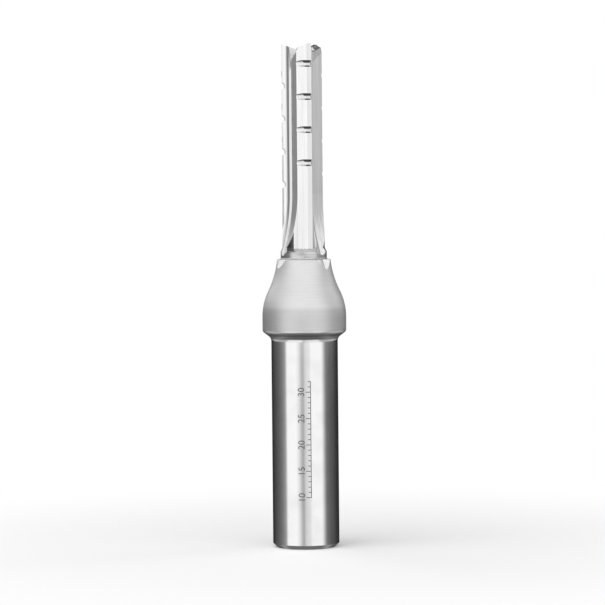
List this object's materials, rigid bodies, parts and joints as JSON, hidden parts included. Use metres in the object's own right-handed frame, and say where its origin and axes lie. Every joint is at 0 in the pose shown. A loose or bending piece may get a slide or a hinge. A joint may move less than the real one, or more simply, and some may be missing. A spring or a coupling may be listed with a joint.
{
  "type": "router bit",
  "caption": "Straight router bit: round ground shank, flared matte stop collar, and a slim brazed carbide head with straight gullets, relieved lands and staggered chip-breaker notches.",
  "frame": {"origin": "centre of the shank's end face, on the bit's axis", "axes": "+Z along the bit's axis from the shank end to the tip, one land faces -Y"},
  "size_m": [0.016, 0.016, 0.096],
  "materials": {
    "steel_body": "ground bright shank, matte blasted collar",
    "carbide_cutter": "finely ground carbide, rough at the neck",
    "braze_joint": "silver braze, satin"
  },
  "bodies": {
    "root": {"steel_body": "steel_body", "carbide_cutter": "carbide_cutter", "braze_joint": "braze_joint"}
  },
  "joints": []
}
